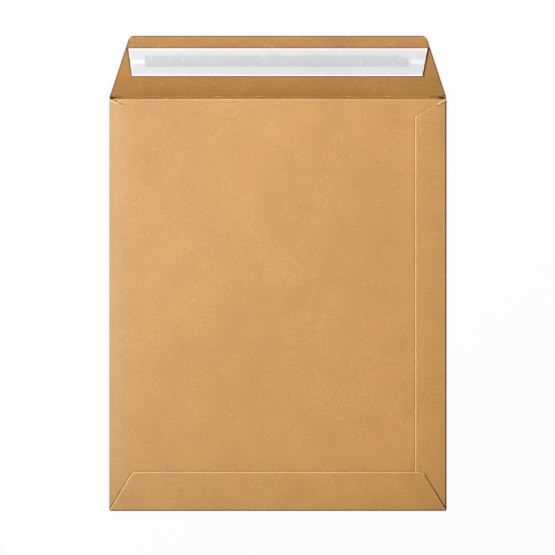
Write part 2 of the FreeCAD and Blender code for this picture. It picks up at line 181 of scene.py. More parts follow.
class PaperLook(bpy.types.PropertyGroup):
    """Colours of the papers and of what holds them."""

    outside: bpy.props.FloatVectorProperty(
        name="Outside", description="Smooth outer face of the manilla paper",
        subtype="COLOR", size=3, default=(0.637, 0.344, 0.127),
    )
    # Painted light: the paler colour along the left fold, where its slope faces the light.
    painted_fold_light: bpy.props.FloatVectorProperty(
        name="Fold_highlight", description="The outer face where the fold has rubbed it pale",
        subtype="COLOR", size=3, default=(0.648, 0.392, 0.178),
    )
    inside: bpy.props.FloatVectorProperty(
        name="Inside", description="Rougher inner face of the manilla paper",
        subtype="COLOR", size=3, default=(0.457, 0.222, 0.064),
    )
    shadow: bpy.props.FloatVectorProperty(
        name="Bruise", description="Bruised paper and the narrow shadow beside a flap's edge",
        subtype="COLOR", size=3, default=(0.095, 0.027, 0.0),
    )
    # Painted highlight: the colour of the pale lines along edges and creases, and also of the pale
    # fibres.
    highlight: bpy.props.FloatVectorProperty(
        name="Highlit edge", description="Pale fibres where an edge or a crease stands up",
        subtype="COLOR", size=3, default=(0.98, 0.63, 0.31),
    )
    cut_edge: bpy.props.FloatVectorProperty(
        name="Cut edge", description="Raw fibres at a cut edge",
        subtype="COLOR", size=3, default=(0.80, 0.52, 0.27),
    )
    liner: bpy.props.FloatVectorProperty(
        name="Liner", description="Silicone paper of the liner",
        subtype="COLOR", size=3, default=(0.70, 0.713, 0.735),
    )
    wetted_liner: bpy.props.FloatVectorProperty(
        name="Liner over adhesive", description="The liner where the adhesive wets it",
        subtype="COLOR", size=3, default=(0.575, 0.590, 0.603),
    )
    liner_rim: bpy.props.FloatVectorProperty(
        name="Liner rim", description="The liner's upper rim, where the brown paper shows through",
        subtype="COLOR", size=3, default=(0.66, 0.55, 0.42),
    )
    liner_foot: bpy.props.FloatVectorProperty(
        name="Liner foot", description="The violet cast of the liner along its lower rim",
        subtype="COLOR", size=3, default=(0.745, 0.715, 0.815),
    )
    adhesive: bpy.props.FloatVectorProperty(
        name="Adhesive", description="Pressure sensitive adhesive",
        subtype="COLOR", size=3, default=(0.62, 0.62, 0.58),
    )
    glue: bpy.props.FloatVectorProperty(
        name="Glue", description="Dried glue in the seams",
        subtype="COLOR", size=3, default=(0.70, 0.60, 0.42),
    )


class StudioSettings(bpy.types.PropertyGroup):
    """Light, floor and camera."""

    key_power: bpy.props.FloatProperty(
        name="Key light", description="Power of the large soft light", default=23.2, unit="POWER"
    )
    fill: bpy.props.FloatProperty(
        name="Fill", description="Brightness of the room's own light",
        default=0.48, subtype="FACTOR",
    )
    camera_height: bpy.props.FloatProperty(
        name="Camera height", description="Height of the camera above the table",
        default=8, unit="LENGTH",
    )
    view_width: bpy.props.FloatProperty(
        name="View width", description="Width of the picture on the table",
        default=0.4113, unit="LENGTH",
    )
    view_centre: bpy.props.FloatVectorProperty(
        name="View centre", description="Middle of the picture on the table", size=2,
        default=(-0.0003, 0.0205), subtype="TRANSLATION", unit="LENGTH",
    )


def half_turn(run, radius):
    """A half turned fold: how far beyond the fold line a point lies, and how far up."""
    if run < math.pi * radius:
        return radius * math.sin(run / radius), radius * (1 - math.cos(run / radius))
    return math.pi * radius - run, 2 * radius


def smooth_step(low, high, value):
    """0 below the low value, 1 above the high one, with soft ends."""
    share = min(max((value - low) / (high - low), 0), 1)
    return share * share * (3 - 2 * share)


class Folding:
    """How the flat blank folds. Places on the blank are measured on the middle of the paper."""

    def __init__(self, sizes):
        self.paper = sizes.paper
        self.rest = sizes.paper / 2
        self.half = sizes.width / 2
        self.mouth = sizes.height / 2
        self.crease = self.mouth + sizes.mouth_step
        self.left_radius = 0.225 * MM
        self.right_radius = 0.32 * MM
        self.bottom_radius = 0.415 * MM
        self.left = self.left_radius + self.rest - self.half
        self.right = self.half - self.right_radius - self.rest
        self.foot = self.bottom_radius + self.rest - self.mouth
        self.gap = 0.5 * MM
        self.root = self.half - 0.6 * MM
        self.seam_edge = self.half - sizes.seam_flap
        self.seam_drop = 12.5 * MM
        self.bottom_edge = sizes.bottom_flap - self.mouth
        self.bottom_half = self.root - sizes.bottom_inset
        self.tip_half = sizes.flap_tip_width / 2
        self.lean = sizes.flap_lean
        self.bow = sizes.flap_depth / (sizes.flap_lean - sizes.tip_lean)
        self.bend = 1.5 * MM
        arm = self.bend + self.paper + self.bow
        self.bow_y = self.crease + arm * math.sin(self.lean)
        self.bow_z = self.paper + self.bend - arm * math.cos(self.lean)
        self.bend_run = (self.bend + self.rest) * self.lean
        self.top_run = self.bend_run + sizes.flap_depth * (self.bow + self.rest) / self.bow
        self.tip = self.on_bow(sizes.flap_depth, 0)[0]
        self.arch_left = self.left + 1 * MM
        self.arch_right = self.seam_edge - 1 * MM
        self.arch_foot = self.bottom_edge + 1 * MM
        self.arch_half = (self.arch_right - self.arch_left) / 2
        self.arch_middle = (self.arch_right + self.arch_left) / 2
        self.heel = 60 * MM
        self.mouth_lift = sizes.mouth_lift
        self.middle_lift = sizes.middle_lift

    def on_bow(self, run, height):
        """A point of the closing flap, by its run from the crease and its height off its underside."""
        lean = self.lean - run / self.bow
        reach = self.bow + height
        return self.bow_y - reach * math.sin(lean), self.bow_z + reach * math.cos(lean)

    def arch(self, x, y):
        """How far the back panel stands above its flat rim."""
        if not (self.arch_left < x < self.arch_right and y > self.arch_foot):
            return 0
        share = (y - self.arch_foot) / (self.mouth - self.arch_foot)
        first = 4 * self.middle_lift - self.mouth_lift
        second = 2 * self.mouth_lift - 4 * self.middle_lift
        lift = (first + second * share) * share
        lean = 2 * math.atan(lift / self.arch_half)
        reach = self.arch_half / math.sin(lean)
        from_side = self.arch_half - abs(x - self.arch_middle)
        if from_side < self.heel * math.sin(lean):
            return self.heel - math.sqrt(self.heel**2 - from_side**2)
        across = self.arch_half - from_side
        return self.heel - reach * math.cos(lean) + math.sqrt((reach - self.heel) ** 2 - across**2)

    def cockle(self, x, y):
        """The slow unevenness of damp paper, fading out towards the back panel's rim."""
        inward = min(x - self.arch_left, self.arch_right - x, y - self.arch_foot)
        fade = smooth_step(0, 30 * MM, inward)
        wave = math.sin(x / 0.021 + y / 0.034) + 0.7 * math.sin(y / 0.017 - x / 0.047 + 1.3)
        return COCKLE_DEPTH * fade * (wave + 0.6 * math.sin(x / 0.011 - y / 0.06 + 2.1))

    def pucker(self, x, y):
        """The small groove and its raised lip, which run in from the left end of the mouth."""
        way = Vector((0.93, -0.365))
        offset = Vector((x + self.half - 1.2 * MM, y - self.mouth))
        along, beyond = offset.dot(way), offset.dot((-way.y, way.x))
        fade = smooth_step(-1.5 * MM, 1.5 * MM, along) * (1 - smooth_step(3 * MM, 12 * MM, along))
        groove = math.exp(-((beyond / (0.55 * MM)) ** 2))
        raised = math.exp(-(((beyond + 1.2 * MM) / (0.65 * MM)) ** 2))
        return fade * (PUCKER_LIP * raised - PUCKER_GROOVE * groove)

    def lip(self, from_edge, height):
        """How far a flap's free edge curls up off the panel it is glued to."""
        return height * (1 - smooth_step(0, LIP_WIDTH, from_edge))

    def place(self, u, v):
        """Where a point of the blank lies once it is folded."""
        if u < self.left:
            beyond, up = half_turn(self.left - u, self.left_radius)
            x = self.left - beyond
            return x, v, self.rest + up + self.arch(x, v) + self.cockle(x, v) + self.pucker(x, v)
        if u > self.right:
            beyond, up = half_turn(u - self.right, self.right_radius)
            x = self.right + beyond
            inward = min(x - self.seam_edge, (self.mouth - v) * 0.85)
            free = smooth_step(self.bottom_edge + 2 * MM, self.bottom_edge + 12 * MM, v)
            free *= smooth_step(self.right, self.right - 6 * MM, x)
            return x, v, self.rest + up + self.lip(inward, SEAM_LIP) * free
        if v < self.foot:
            beyond, up = half_turn(self.foot - v, self.bottom_radius)
            y = self.foot - beyond
            lip = self.lip(self.bottom_edge - y, BOTTOM_LIP) * smooth_step(0, 4 * MM, y - self.foot)
            return u, y, self.rest + up + lip
        if v > self.crease:
            run = v - self.crease
            if run < self.bend_run:
                lean = run / (self.bend + self.rest)
                reach = self.bend + self.rest
                up = self.paper + self.bend - reach * math.cos(lean)
                return u, self.crease + reach * math.sin(lean), up
            along = (run - self.bend_run) * self.bow / (self.bow + self.rest)
            y, z = self.on_bow(along, self.rest)
            sway = math.sin(u / 0.031 + 0.8) + 0.6 * math.sin(u / 0.013 + y / 0.02)
            return u, y, z + SWAY_DEPTH * sway * smooth_step(0, 25 * MM, run)
        return u, v, self.rest


def faces_between(mesh, low, high):
    """The faces whose middles lie in a rectangle of the blank."""
    middles = {face: face.calc_center_median() for face in mesh.faces}
    return [
        face
        for face, middle in middles.items()
        if low[0] < middle.x < high[0] and low[1] < middle.y < high[1]
    ]


def cut_line(mesh, region, point, outward, clear=True):
    """Cuts the sheet along a line inside a region, and clears what stands outward of the line."""
    faces = faces_between(mesh, *region)
    edges = {edge for face in faces for edge in face.edges}
    corners = {corner for face in faces for corner in face.verts}
    bmesh.ops.bisect_plane(
        mesh,
        geom=[*faces, *edges, *corners],
        dist=1e-6,
        plane_co=(point[0], point[1], 0),
        plane_no=(outward[0], outward[1], 0),
    )
    if clear:
        line, way = Vector(point).to_2d(), Vector(outward).to_2d()
        faces = faces_between(mesh, *region)
        spare = [face for face in faces if way.dot(face.calc_center_median().xy - line) > 0]
        bmesh.ops.delete(mesh, geom=spare, context="FACES")


def score(mesh, region, x=0.0, y=None):
    """Cuts the sheet along an upright line at x, or a level one at y, and keeps both sides."""
    if y is None:
        cut_line(mesh, region, (x, 0), (1, 0), clear=False)
    else:
        cut_line(mesh, region, (0, y), (0, 1), clear=False)


def trim(mesh, region, corners, steps=5):
    """Cuts the sheet in a region to convex corners, anticlockwise, each with its radius."""
    for number, (*start, _) in enumerate(corners):
        *corner, radius = corners[(number + 1) % len(corners)]
        *beyond, _ = corners[(number + 2) % len(corners)]
        first = Vector((corner[1] - start[1], start[0] - corner[0])).normalized()
        second = Vector((beyond[1] - corner[1], corner[0] - beyond[0])).normalized()
        cut_line(mesh, region, corner, first)
        if radius:
            centre = Vector(corner) - (first + second) * radius / (1 + first.dot(second))
            for step in range(1, steps):
                normal = first.lerp(second, step / steps).normalized()
                cut_line(mesh, region, centre + normal * radius, normal)


def finish_mesh(mesh, name, place):
    """A new object from a flat mesh whose corners are moved to their places in the envelope."""
    for corner in mesh.verts:
        corner.co = place(corner.co.x, corner.co.y)
    data = bpy.data.meshes.new(name)
    mesh.to_mesh(data)
    mesh.free()
    piece = bpy.data.objects.new(name, data)
    bpy.context.scene.collection.objects.link(piece)
    return piece


def thicken(piece, thickness, sharp=math.radians(40)):
    """Gives a sheet its thickness, with its faces, backs and cut edges in separate materials."""
    solid = piece.modifiers.new("paper", "SOLIDIFY")
    solid.thickness = thickness
    solid.offset = 0
    solid.material_offset = 1
    solid.material_offset_rim = 2
    made = piece.evaluated_get(bpy.context.evaluated_depsgraph_get())
    data = bpy.data.meshes.new_from_object(made)
    piece.modifiers.clear()
    flat = piece.data
    piece.data = data
    bpy.data.meshes.remove(flat)
    data.name = piece.name
    data.shade_smooth()
    data.set_sharp_from_angle(angle=sharp)


def flat_grid(low, high, cell):
    """A flat sheet of squares between two corners."""
    mesh = bmesh.new()
    spans = [high[way] - low[way] for way in (0, 1)]
    across, up = (round(span / cell) for span in spans)
    bmesh.ops.create_grid(mesh, x_segments=across, y_segments=up, size=0.5)
    bmesh.ops.scale(mesh, vec=(spans[0], spans[1], 1), verts=mesh.verts)
    middle = ((low[0] + high[0]) / 2, (low[1] + high[1]) / 2, 0)
    bmesh.ops.translate(mesh, vec=middle, verts=mesh.verts)
    return mesh


def cut_blank(fold, cell):
    """The flat blank: the front panel with the back panel and the three flaps round it."""
    left_turn = math.pi * fold.left_radius
    right_turn = math.pi * fold.right_radius
    bottom_turn = math.pi * fold.bottom_radius
    over = 2 * fold.left - left_turn
    back_end = over - (fold.right - fold.gap)
    seam_end = 2 * fold.right + right_turn - fold.seam_edge
    bottom_end = 2 * fold.foot - bottom_turn - fold.bottom_edge
    top_end = fold.crease + fold.top_run
    back_foot = fold.foot + fold.gap
    mesh = flat_grid((back_end, bottom_end), (seam_end, top_end), cell)
    far = 1.0
    everything = ((-far, -far), (far, far))
    back = ((-far, -far), (fold.left, far))
    seam = ((fold.right, -far), (far, far))
    bottom = ((fold.left, -far), (fold.right, fold.foot))
    top = ((fold.left, fold.crease), (fold.right, far))
    for step in range(FOLD_STEPS + 1):
        share = step / FOLD_STEPS
        score(mesh, everything, x=fold.left - share * left_turn)
        score(mesh, everything, x=fold.right + share * right_turn)
        score(mesh, everything, y=fold.foot - share * bottom_turn)
    for run in (0, fold.bend_run / 2, fold.bend_run):
        score(mesh, everything, y=fold.crease + run)
    corners = ((back_end, back_foot), (far, back_foot), (far, fold.mouth), (back_end, fold.mouth))
    trim(mesh, back, [(*corner, 0) for corner in corners])
    score(mesh, back, x=over - fold.arch_left)
    score(mesh, back, x=over - fold.arch_right)
    corner, fine = over + fold.half, 0.6 * MM
    puckered = ((corner - 14 * MM, fold.mouth - 8 * MM), (corner, fold.mouth))
    for step in range(1, 22):
        score(mesh, puckered, x=corner - step * fine)
    for step in range(1, 12):
        score(mesh, puckered, y=fold.mouth - step * fine)
    for run in (0.4 * MM, 1 * MM, 2 * MM, 3 * MM):
        score(mesh, seam, x=seam_end - run)
        score(mesh, bottom, y=bottom_end + run)
    side = fold.right + right_turn
    low, high = back_foot + fold.seam_drop, fold.mouth - fold.seam_drop
    outline = [(fold.right, back_foot, 0), (side, back_foot, 0), (seam_end, low, SEAM_CORNER)]
    outline += [(seam_end, high, SEAM_CORNER), (side, fold.mouth, 0), (fold.right, fold.mouth, 0)]
    trim(mesh, seam, outline)
    half, root, foot = fold.bottom_half, fold.root, fold.foot - bottom_turn
    outline = [(-half, bottom_end, BOTTOM_CORNER), (half, bottom_end, BOTTOM_CORNER)]
    outline += [(root, foot, 0), (root, fold.foot, 0), (-root, fold.foot, 0), (-root, foot, 0)]
    trim(mesh, bottom, outline)
    half = fold.tip_half
    outline = [(-root, fold.crease, 0), (root, fold.crease, 0)]
    outline += [(half, top_end, TIP_CORNER), (-half, top_end, TIP_CORNER)]
    trim(mesh, top, outline)
    middles = {face: face.calc_center_median() for face in mesh.faces}
    spare = [
        face
        for face, middle in middles.items()
        if not fold.left <= middle.x <= fold.right and not back_foot < middle.y < fold.mouth
    ]
    bmesh.ops.delete(mesh, geom=spare, context="FACES")
    bmesh.ops.reverse_faces(mesh, faces=mesh.faces)
    return mesh


def add_node(tree, kind, **settings):
    """A node with its settings."""
    node = tree.nodes.new(kind)
    for name, value in settings.items():
        setattr(node, name, value)
    return node


def feed(socket, value):
    """Links a node's output to a socket, or sets the socket to a plain value."""
    if isinstance(value, bpy.types.NodeSocket):
        socket.id_data.links.new(value, socket)
    else:
        socket.default_value = value


def count(operation, *values):
    """One sum of a pattern: an arithmetic node over sockets and numbers."""
    tree = next(value.id_data for value in values if isinstance(value, bpy.types.NodeSocket))
    node = add_node(tree, "ShaderNodeMath", operation=operation)
    for socket, value in zip(node.inputs, values):
        feed(socket, value)
    return node.outputs[0]


def times(first, second):
    """The product of two patterns."""
    return count("MULTIPLY", first, second)


def map_range(kind, value, low, high, low_to, high_to):
    """A value taken from one range of numbers to another, and held at both ends."""
    node = add_node(value.id_data, "ShaderNodeMapRange", interpolation_type=kind)
    names = ("Value", "From Min", "From Max", "To Min", "To Max")
    for name, number in zip(names, (value, low, high, low_to, high_to)):
        feed(node.inputs[name], number)
    return node.outputs[0]


def ramp(value, low, high, low_to=0.0, high_to=1.0):
    """A soft step of a value from one number to another."""
    return map_range("SMOOTHSTEP", value, low, high, low_to, high_to)


def slope(value, low, high, low_to=0.0, high_to=1.0):
    """A straight change of a value from one number to another."""
    return map_range("LINEAR", value, low, high, low_to, high_to)


def line_across(value, centre, half, soft):
    """1 on a line of that half width about a centre value, fading out softly on both sides."""
    away = count("ABSOLUTE", count("SUBTRACT", value, centre))
    return ramp(away, half, half + soft, 1.0, 0.0)


def noise(place, scale, detail=2.0, roughness=0.5, stretch=None):
    """Noise between about -0.5 and 0.5, stretched along one way where that is given."""
    tree, spot = place.metres.id_data, place.metres
    if stretch:
        turn = add_node(tree, "ShaderNodeMapping")
        feed(turn.inputs["Vector"], spot)
        turn.inputs["Rotation"].default_value[2] = math.radians(stretch[0])
        turn.inputs["Scale"].default_value = (stretch[1], 1, 1)
        spot = turn.outputs[0]
    node = add_node(tree, "ShaderNodeTexNoise")
    settings = {"Vector": spot, "Scale": scale, "Detail": detail, "Roughness": roughness}
    for name, value in settings.items():
        feed(node.inputs[name], value)
    return count("SUBTRACT", node.outputs[0], 0.5)


def total(*parts):
    """Adds up a number and several patterns, each with its strength."""
    result = parts[0]
    for pattern, strength in parts[1:]:
        result = count("MULTIPLY_ADD", pattern, strength, result)
    return result


class Place:
    """Object coordinates in millimetres, as one vector and as its three parts."""

    def __init__(self, tree):
        where = add_node(tree, "ShaderNodeTexCoord")
        self.metres = where.outputs["Object"]
        scaled = add_node(tree, "ShaderNodeVectorMath", operation="SCALE")
        feed(scaled.inputs[0], self.metres)
        feed(scaled.inputs["Scale"], 1 / MM)
        self.all = scaled.outputs[0]
        parts = add_node(tree, "ShaderNodeSeparateXYZ")
        feed(parts.inputs[0], self.all)
        self.x, self.y, self.z = parts.outputs


def beside(place, start, finish):
    """How far a point lies to the left of a line, and 1 along the line's own length."""
    tree = place.all.id_data
    way = Vector((finish[0] - start[0], finish[1] - start[1], 0))
    length = way.length
    way.normalize()
    offset = add_node(tree, "ShaderNodeVectorMath", operation="SUBTRACT")
    feed(offset.inputs[0], place.all)
    feed(offset.inputs[1], (*start, 0))
    found = []
    for direction in ((-way.y, way.x, 0), (way.x, way.y, 0)):
        dot = add_node(tree, "ShaderNodeVectorMath", operation="DOT_PRODUCT")
        feed(dot.inputs[0], offset.outputs[0])
        feed(dot.inputs[1], direction)
        found.append(dot.outputs["Value"])
    along = line_across(found[1], length / 2, length / 2, LINE_END)
    return found[0], along


def blend(share, first, second):
    """Mixes two colours by a share that is held between 0 and 1."""
    mix = add_node(share.id_data, "ShaderNodeMix", data_type="RGBA")
    feed(mix.inputs[0], share)
    for number, colour in ((6, first), (7, second)):
        linked = isinstance(colour, bpy.types.NodeSocket)
        feed(mix.inputs[number], colour if linked else (*colour, 1))
    return mix.outputs[2]


def finish_material(tree, colour, tone, height, distance, rough, depth=1.0, hue=0.5):
    """Gives a material its colour times its tone, its depth of colour, its relief and its gloss."""
    shader = tree.nodes["Principled BSDF"]
    shade = add_node(tree, "ShaderNodeHueSaturation")
    for name, value in {"Color": colour, "Value": tone, "Saturation": depth, "Hue": hue}.items():
        feed(shade.inputs[name], value)
    relief = add_node(tree, "ShaderNodeBump")
    for name, value in {"Strength": 1, "Distance": distance, "Height": height}.items():
        feed(relief.inputs[name], value)
    feed(shader.inputs["Base Color"], shade.outputs[0])
    feed(shader.inputs["Roughness"], count("ADD", shader.inputs["Roughness"].default_value, rough))
    feed(shader.inputs["Normal"], relief.outputs[0])


def new_material(name, roughness, specular):
    """A material with one shader, and its node tree."""
    material = bpy.data.materials.new(name)
    material.use_nodes = True
    shader = material.node_tree.nodes["Principled BSDF"]
    shader.inputs["Roughness"].default_value = roughness
    shader.inputs["Specular IOR Level"].default_value = specular
    return material, material.node_tree


def fibre_tone(place, strength, lift):
    """The paper's tone with its dark specks, its relief, and the share of pale fibres on it."""
    cloud = noise(place, 38, 3)
    mottle = noise(place, 210, 2, 0.5)
    fleck = noise(place, 1300, 3, 0.7)
    fibre = noise(place, 1900, 2, 0.6, (12, 0.3))
    crossing = noise(place, 1700, 2, 0.6, (72, 0.3))
    crowd = noise(place, 42, 2)
    pale_specks = specks(place, 250, crowd, 0.84)
    dark_specks = specks(place, 290, crowd, 0.82)
    pale_hairs = hair_lines(place, 260, 150, 330, crowd)
    dark_hairs = hair_lines(place, 310, 190, 410, crowd)
    grain = [(cloud, 0.20), (mottle, 0.05), (fleck, 0.25), (fibre, 0.22), (crossing, 0.18)]
    grain += [(dark_specks, -0.20), (dark_hairs, -0.19)]
    tone = total(1.0, *((part, share * strength) for part, share in grain))
    pale = total(0.0, (pale_specks, 0.26 * lift), (pale_hairs, 0.36 * lift))
    relief = total(
        fleck,
        (fibre, 1.2),
        (crossing, 1.0),
        (mottle, 1.0),
        (pale_specks, 3.4),
        (dark_specks, -1.2),
        (pale_hairs, 3.0),
        (dark_hairs, -1.0),
    )
    return tone, relief, pale


def add_cells(tree, feature, spot, size):
    """Cells scattered over the sheet."""
    cells = add_node(tree, "ShaderNodeTexVoronoi", feature=feature, voronoi_dimensions="2D")
    feed(cells.inputs["Vector"], spot)
    feed(cells.inputs["Scale"], size)
    return cells


def specks(place, size, crowd, share):
    """Small round specks, each in a cell of its own, closer together where they crowd."""
    tree = crowd.id_data
    cells = add_cells(tree, "F1", place.metres, size)
    chance = add_node(tree, "ShaderNodeSeparateColor")
    feed(chance.inputs[0], cells.outputs["Color"])
    found = count("MULTIPLY_ADD", crowd, 1.5, chance.outputs[0])
    dot = ramp(cells.outputs["Distance"], 0.06, 0.15, 1.0, 0.0)
    return times(dot, ramp(found, share, share + 0.10))


def hair_lines(place, bend, size, patch, crowd):
    """Short pieces of thin bent lines, like single fibres, closer together where they crowd."""
    tree = crowd.id_data
    bent = add_node(tree, "ShaderNodeTexNoise")
    feed(bent.inputs["Vector"], place.metres)
    feed(bent.inputs["Scale"], bend)
    sway = add_node(tree, "ShaderNodeVectorMath", operation="MULTIPLY_ADD")
    feed(sway.inputs[0], bent.outputs["Color"])
    feed(sway.inputs[1], [HAIR_SWAY / bend] * 3)
    feed(sway.inputs[2], place.metres)
    cells = add_cells(tree, "DISTANCE_TO_EDGE", sway.outputs[0], size)
    pieces = count("MULTIPLY_ADD", crowd, 0.35, noise(place, patch, 2))
    width = HAIR_WIDTH * size
    line = ramp(cells.outputs["Distance"], width * 0.4, width, 1.0, 0.0)
    return times(line, ramp(pieces, 0.09, 0.13))


def colour_drift(place):
    """A slow drift between a redder and a yellower brown, about the hue as it is."""
    return count("MULTIPLY_ADD", noise(place, 48, 2), 0.010, 0.5)


def drawn(place, wobble, table, share=None):
    """Lines from rows of points, centre, width, softness and strength, ready to be totalled."""
    marks = []
    for points, centre, width, soft, strength in table:
        mark = None
        for start, finish in zip(points, points[1:]):
            side, along = beside(place, start, finish)
            part = times(line_across(count("ADD", side, wobble), centre, width, soft), along)
            mark = part if mark is None else count("MAXIMUM", mark, part)
        marks.append((mark if share is None else times(mark, share), strength))
    return marks


def outside_material(look, fold):
    """The smooth outer face, with painted shadow lines and painted highlights along the flaps' edges,
    the folds, the mouth and its pucker, and painted shade over the panel.
    """
    material, tree = new_material("manilla_outside", 0.72, 0.28)
    place = Place(tree)
    tone, relief, pale = fibre_tone(place, 1.0, 1.0)
    above = ramp(place.z, 0.2, 0.4)
    wobble = noise(place, 190, 3)
    broken = ramp(noise(place, 420, 2), -0.10, 0.06)
    near, wide = times(wobble, 0.4), times(wobble, 1.6)
    mm = {name: value / MM for name, value in vars(fold).items()}
    seam, mouth, edge, foot = mm["seam_edge"], mm["mouth"], mm["bottom_edge"], mm["foot"] + 0.4
    low, half, root, drop = edge - 1.8, mm["bottom_half"], mm["root"], mm["seam_drop"]
    middle, across = edge * 0.5 + foot * 0.5, half * 0.5 + root * 0.5

    def on_slant(share):
        return seam + share * (mm["half"] - seam), mouth - (1 - share) * drop

    upright = [(seam, edge), (seam, mouth - drop - 0.9), on_slant(0.03)]
    inner = half - 3.0
    left = [(-root, foot), (-half - 1.1, low), (-half + 0.3, edge - 0.35), (-inner, edge)]
    head = [(-inner, edge), (inner, edge), (half - 0.6, edge - 0.3), (half + 1.1, low)]
    right = [(half + 0.9, low + 0.4), (across, middle), (root, foot)]
    # Painted shadow: narrow dark lines beside the edges of the seam flap and the bottom flap.
    flap_darks = [
        (upright, 0.72, 0.22, 0.42, 0.41),
        ([on_slant(0.03), on_slant(0.55)], 0.75, 0.22, 0.5, 0.22),
        ([on_slant(0.66), on_slant(1.0)], -1.05, 0.30, 0.6, 0.40),
        (left[:2], 0.62, 0.22, 0.40, 0.50),
        ([(-root, foot), (-across, middle)], 0.62, 0.24, 0.40, 0.36),
        (left[1:], 0.62, 0.22, 0.42, 0.30),
        (head[:2], 0.72, 0.28, 0.5, 0.26),
        (head[1:], 0.55, 0.2, 0.4, 0.24),
        (right, 0.30, 0.24, 0.34, 0.80),
        (right[1:], 0.30, 0.28, 0.36, 0.60),
    ]
    # Painted shadow along the pucker's groove at the left end of the mouth.
    pucker_darks = [
        ([(-124.0, mouth), (-119.6, mouth - 1.5)], 0.0, 0.28, 0.5, 0.75),
        ([(-119.6, mouth - 1.5), (-117.4, mouth - 2.7)], 0.0, 0.08, 0.4, 0.30),
        ([(-117.4, mouth - 2.7), (-114.0, mouth - 3.9)], 0.0, 0.16, 0.5, 0.50),
    ]
    darks = [
        *drawn(place, near, flap_darks),
        *drawn(place, wide, pucker_darks),
        # Painted shade along the right fold and along the bottom fold.
        (line_across(place.x, mm["half"] - 0.5, 0.42, 0.5), 0.78),
        (line_across(place.y, 0.35 - mouth, 0.42, 0.38), 0.60),
    ]
    # Painted highlights: pale lines along the edges of the seam flap and the bottom flap.
    flap_brights = [
        (upright, -0.06, 0.30, 0.28, 0.98),
        ([on_slant(0.72), on_slant(0.97)], -0.1, 0.30, 0.4, 1.0),
        (left, -0.12, 0.26, 0.34, 1.0),
        (head[:2], -0.04, 0.25, 0.22, 0.98),
        (head[1:], -0.15, 0.16, 0.3, 0.45),
        (right[1:], -0.75, 0.15, 0.5, 0.34),
    ]
    # Painted highlights along the seam flap's slant, broken in places.
    broken_brights = [
        ([on_slant(0.03), on_slant(0.42)], -0.05, 0.18, 0.4, 0.75),
        ([on_slant(0.42), on_slant(0.72)], -0.05, 0.12, 0.4, 0.40),
    ]
    # Painted highlights at the pucker's end and along its lip.
    pucker_end = [([(-117.6, mouth - 3.8), (-114.6, mouth - 4.9)], 0.0, 0.1, 0.4, 0.45)]
    pucker_lip = [([(-124.4, mouth - 1.0), (-119.4, mouth - 2.8)], 0.0, 0.22, 0.4, 0.85)]
    brights = [
        *drawn(place, near, flap_brights),
        *drawn(place, near, broken_brights, broken),
        *drawn(place, wide, pucker_end, broken),
        *drawn(place, wide, pucker_lip),
        # Painted highlight along the edge of the mouth.
        (line_across(place.y, mouth - 0.15, 0.3, 0.27), 0.56),
    ]
    # Painted light and shade over the back panel: darker towards the right, the bottom and the lower
    # right, darker on the left and lighter on the right towards the mouth, lighter at the lower left
    # edge and darker at the top of the right edge.
    upper = ramp(place.y, 20, 150)
    middle_left = times(line_across(place.x, -88, 8, 60), ramp(place.x, -121, -102))
    low_right = times(ramp(place.x, 10, 110), ramp(place.y, -20, -150))
    middle_right = line_across(place.x, 80, 6, 27)
    shade = total(
        tone,
        (times(ramp(place.x, 84, 124), above), -0.10),
        (times(ramp(place.x, 84, 118), ramp(place.y, -130, -60)), -0.022),
        (times(ramp(place.y, -105, -152), above), -0.13),
        (times(ramp(place.y, -138, -151), above), -0.02),
        (times(middle_left, upper), -0.09),
        (times(middle_right, upper), 0.045),
        (low_right, -0.04),
        (times(ramp(place.x, -106, -121), ramp(place.y, -95, -130)), 0.035),
        (times(ramp(place.x, 118, 122), ramp(place.y, 112, 132)), -0.055),
    )
    # Painted light: paler along the left fold, where its slope faces the light, most of all towards
    # the mouth.
    lightened = times(ramp(place.x, -112, -122, 0.0, 0.8), ramp(place.y, -150, -70, 0.25, 1.0))
    painted_fold_light = blend(lightened, look.outside, look.painted_fold_light)
    # Painted shadow lines, then painted highlights mixed with the pale fibres, over the colour.
    shadowed = blend(times(total(0.0, *darks), above), painted_fold_light, look.shadow)
    highlights_and_fibres = count("MULTIPLY_ADD", total(0.0, *brights), above, pale)
    raised = blend(highlights_and_fibres, shadowed, look.highlight)
    depth = slope(place.y, 60, -150, 1.0, 1.035)
    depth = times(depth, slope(place.x, -110, 110, 0.965, 1.035))
    rough = times(relief, 0.12)
    finish_material(tree, raised, shade, relief, 0.012 * MM, rough, depth, colour_drift(place))
    return material


